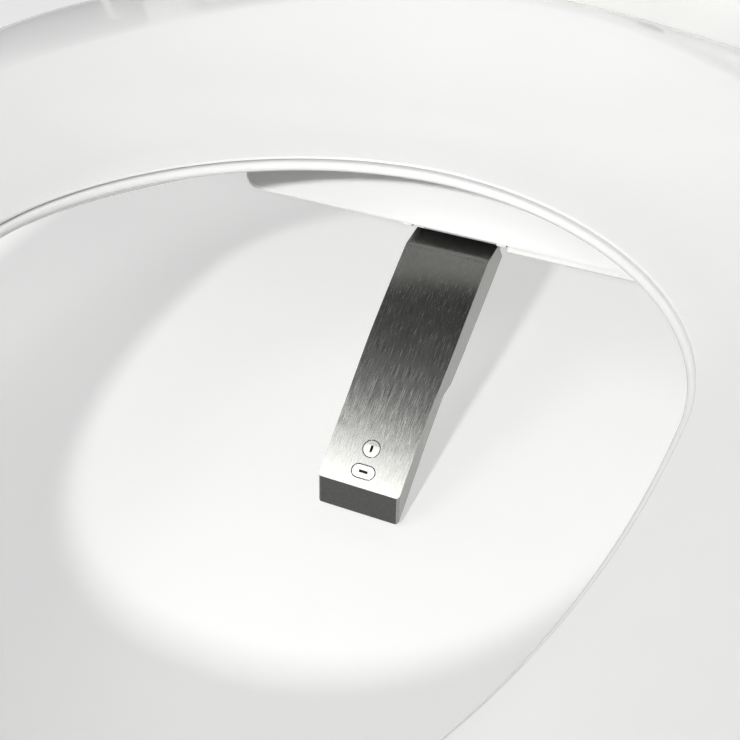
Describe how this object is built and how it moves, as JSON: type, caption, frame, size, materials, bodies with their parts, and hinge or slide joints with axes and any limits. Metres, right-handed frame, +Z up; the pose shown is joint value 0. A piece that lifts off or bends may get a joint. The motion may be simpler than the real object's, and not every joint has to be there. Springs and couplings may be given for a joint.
{
  "type": "electric bidet seat",
  "caption": "White electric bidet seat with a closed dished ring, hinged lid, rear housing, sloped front panel, stainless steel spray arm on a rack drive, dryer flap, side buttons and deck mounting plate.",
  "frame": {"origin": "on the bowl's deck, at the underside of the mounting plate, midway between the two fixing bolts", "axes": "+X to the right of someone facing the seat, +Y to the rear, +Z up away from the deck"},
  "size_m": [0.419, 0.5439, 0.6058],
  "materials": {
    "white_gloss": "glossy white ABS",
    "white_satin": "satin off-white plastic",
    "grey_plastic": "satin grey plastic",
    "black_plastic": "black plastic",
    "rubber_pale": "soft off-white elastomer",
    "rubber_black": "black rubber",
    "steel_brushed": "brushed stainless steel",
    "steel_plain": "plain steel",
    "aluminium": "aluminium",
    "pcb": "circuit board",
    "valve_blue": "dark blue plastic"
  },
  "bodies": {
    "unit": {"top_cover": "white_gloss", "front_panel": "white_gloss", "base_pan": "white_gloss", "nozzle_bay_frame": "white_gloss", "flow_heater": "aluminium", "dryer_heater": "aluminium", "hinge_pin_left": "steel_plain", "hinge_pin_right": "steel_plain", "mounting_bolt_left": "steel_plain", "mounting_bolt_right": "steel_plain", "nozzle_motor": "steel_plain", "dryer_fan_motor": "steel_plain", "inlet_strainer": "steel_plain", "dryer_duct": "grey_plastic", "deodoriser_duct": "grey_plastic", "nozzle_guide_rail": "grey_plastic", "water_inlet": "grey_plastic", "vacuum_breaker": "grey_plastic", "water_hose": "grey_plastic", "mounting_plate": "white_satin", "bolt_nut_left": "white_satin", "bolt_nut_right": "white_satin", "lid_damper": "black_plastic", "seat_damper": "black_plastic", "dryer_fan_housing": "black_plastic", "occupancy_sensor": "black_plastic", "power_cord_gland": "black_plastic", "bolt_washer_left": "rubber_black", "bolt_washer_right": "rubber_black", "unit_foot_left": "rubber_black", "unit_foot_right": "rubber_black", "control_board": "pcb", "solenoid_valve": "valve_blue"},
    "lid": {"lid": "white_gloss", "lid_bumper_left": "rubber_pale", "lid_bumper_right": "rubber_pale"},
    "seat": {"seat_top_shell": "white_gloss", "seat_bottom_shell": "white_gloss", "seat_rear_cover": "white_gloss", "seat_arm_left": "white_gloss", "seat_arm_right": "white_gloss", "seat_heater_foil": "aluminium", "seat_bumper_front_left": "rubber_pale", "seat_bumper_front_right": "rubber_pale", "seat_bumper_rear_right": "rubber_pale", "seat_bumper_rear_left": "rubber_pale"},
    "spray_arm": {"nozzle_sleeve": "steel_brushed", "nozzle_core": "grey_plastic", "nozzle_rack": "white_satin", "spray_insert_round": "steel_brushed", "spray_insert_oval": "steel_brushed"},
    "pinion": {"nozzle_pinion": "white_satin"},
    "dryer_flap": {"dryer_flap": "white_gloss"},
    "dryer_fan": {"dryer_fan_impeller": "grey_plastic"},
    "deodoriser_fan": {"deodoriser_fan": "grey_plastic"},
    "filter": {"deodoriser_filter": "white_satin"},
    "button_wash": {"button_wash": "white_satin"},
    "button_dry": {"button_dry": "white_satin"},
    "button_stop": {"button_stop": "grey_plastic"},
    "release_button": {"release_button": "grey_plastic"}
  },
  "joints": [
    {"name": "lid_hinge", "type": "hinge", "parent": "unit", "child": "lid", "pos_m": [0, -0.018, 0.084], "axis": [1, 0, 0], "range_deg": [0, 105]},
    {"name": "seat_hinge", "type": "hinge", "parent": "unit", "child": "seat", "pos_m": [0, -0.018, 0.084], "axis": [1, 0, 0], "range_deg": [-95, 0]},
    {"name": "nozzle_slide", "type": "slide", "parent": "unit", "child": "spray_arm", "axis": [0, -0.8039, -0.5948], "range_m": [-0.096, 0]},
    {"name": "pinion_spin", "type": "hinge", "parent": "unit", "child": "pinion", "pos_m": [-0.0014, -0.0577, 0.0174], "axis": [1, 0, 0], "range_deg": [-920, 920]},
    {"name": "dryer_flap_hinge", "type": "hinge", "parent": "unit", "child": "dryer_flap", "pos_m": [0.04725, -0.1043, 0.0031], "axis": [1, 0, 0], "range_deg": [-40, 0], "stiffness_Nm_per_rad": 0.001, "springref_deg": 20.05},
    {"name": "dryer_fan_spin", "type": "hinge", "parent": "unit", "child": "dryer_fan", "pos_m": [0.05, 0.022, 0.0385], "axis": [1, 0, 0], "continuous": true},
    {"name": "deodoriser_fan_spin", "type": "hinge", "parent": "unit", "child": "deodoriser_fan", "pos_m": [0.115, -0.004, 0.0178], "axis": [1, 0, 0], "continuous": true},
    {"name": "filter_slide", "type": "slide", "parent": "unit", "child": "filter", "axis": [1, 0, 0], "range_m": [0, 0.05]},
    {"name": "button_wash_press", "type": "slide", "parent": "unit", "child": "button_wash", "axis": [-1, 0, 0], "range_m": [0, 0.0018], "stiffness_N_per_m": 600, "springref_m": -0.0012},
    {"name": "button_dry_press", "type": "slide", "parent": "unit", "child": "button_dry", "axis": [-1, 0, 0], "range_m": [0, 0.0018], "stiffness_N_per_m": 600, "springref_m": -0.0012},
    {"name": "button_stop_press", "type": "slide", "parent": "unit", "child": "button_stop", "axis": [-1, 0, 0], "range_m": [0, 0.0018], "stiffness_N_per_m": 600, "springref_m": -0.0012},
    {"name": "release_button_press", "type": "slide", "parent": "unit", "child": "release_button", "axis": [-1, 0, 0], "range_m": [0, 0.0022], "stiffness_N_per_m": 700, "springref_m": -0.0012}
  ],
  "couplings": [
    {"joint": "pinion_spin", "follows": "nozzle_slide", "rad_per_m": 166.67}
  ]
}
